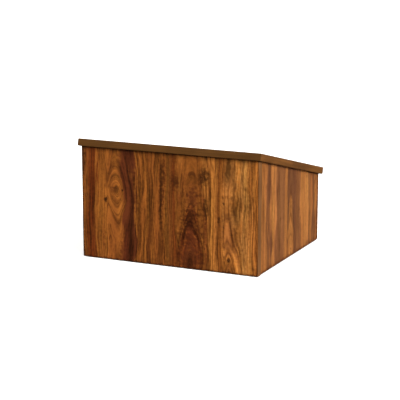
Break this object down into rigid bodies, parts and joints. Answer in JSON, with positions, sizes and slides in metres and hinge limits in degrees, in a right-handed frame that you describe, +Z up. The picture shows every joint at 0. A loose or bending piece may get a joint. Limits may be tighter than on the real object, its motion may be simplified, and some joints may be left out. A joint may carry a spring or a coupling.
{
  "type": "photo album stand",
  "caption": "Slant-top table stand with an open-backed storage space, vinyl-edged laminated boards and a book stop.",
  "frame": {"origin": "on the table, under the middle of the stand's outline", "axes": "+Z up, +X across the width, -Y out of the tall front, +Y towards the low edge of the top and the open back"},
  "size_m": [0.59, 0.5194, 0.3637],
  "materials": {
    "walnut_laminate": "satin laminate with upright walnut grain over particleboard",
    "brown_vinyl": "satin extruded edge moulding",
    "stained_wood": "stained and lacquered hardwood",
    "beech": "unfinished turned dowel",
    "cast_zinc": "tumbled die casting",
    "plated_steel": "bright zinc plate",
    "black_nylon": "moulded matt"
  },
  "bodies": {
    "root": {"back_moulding_left": "brown_vinyl", "back_moulding_right": "brown_vinyl", "book_stop": "stained_wood", "book_stop_screw_1": "plated_steel", "book_stop_screw_2": "plated_steel", "book_stop_screw_3": "plated_steel", "bottom_panel": "walnut_laminate", "bottom_panel_moulding": "brown_vinyl", "front_bottom_left_dowel": "beech", "front_bottom_right_dowel": "beech", "front_moulding_left": "brown_vinyl", "front_moulding_right": "brown_vinyl", "front_panel": "walnut_laminate", "front_top_left_dowel": "beech", "front_top_right_dowel": "beech", "glide_back_left": "black_nylon", "glide_back_right": "black_nylon", "glide_front_left": "black_nylon", "glide_front_right": "black_nylon", "left_bottom_1_bolt": "plated_steel", "left_bottom_1_cam": "cast_zinc", "left_bottom_2_bolt": "plated_steel", "left_bottom_2_cam": "cast_zinc", "left_bottom_dowel": "beech", "left_front_1_bolt": "plated_steel", "left_front_1_cam": "cast_zinc", "left_front_2_bolt": "plated_steel", "left_front_2_cam": "cast_zinc", "left_front_dowel": "beech", "left_side_panel": "walnut_laminate", "left_top_1_bolt": "plated_steel", "left_top_1_cam": "cast_zinc", "left_top_2_bolt": "plated_steel", "left_top_2_cam": "cast_zinc", "left_top_dowel": "beech", "right_bottom_1_bolt": "plated_steel", "right_bottom_1_cam": "cast_zinc", "right_bottom_2_bolt": "plated_steel", "right_bottom_2_cam": "cast_zinc", "right_bottom_dowel": "beech", "right_front_1_bolt": "plated_steel", "right_front_1_cam": "cast_zinc", "right_front_2_bolt": "plated_steel", "right_front_2_cam": "cast_zinc", "right_front_dowel": "beech", "right_side_panel": "walnut_laminate", "right_top_1_bolt": "plated_steel", "right_top_1_cam": "cast_zinc", "right_top_2_bolt": "plated_steel", "right_top_2_cam": "cast_zinc", "right_top_dowel": "beech", "top_moulding_back": "brown_vinyl", "top_moulding_front": "brown_vinyl", "top_moulding_left": "brown_vinyl", "top_moulding_right": "brown_vinyl", "top_panel": "walnut_laminate"}
  },
  "joints": []
}
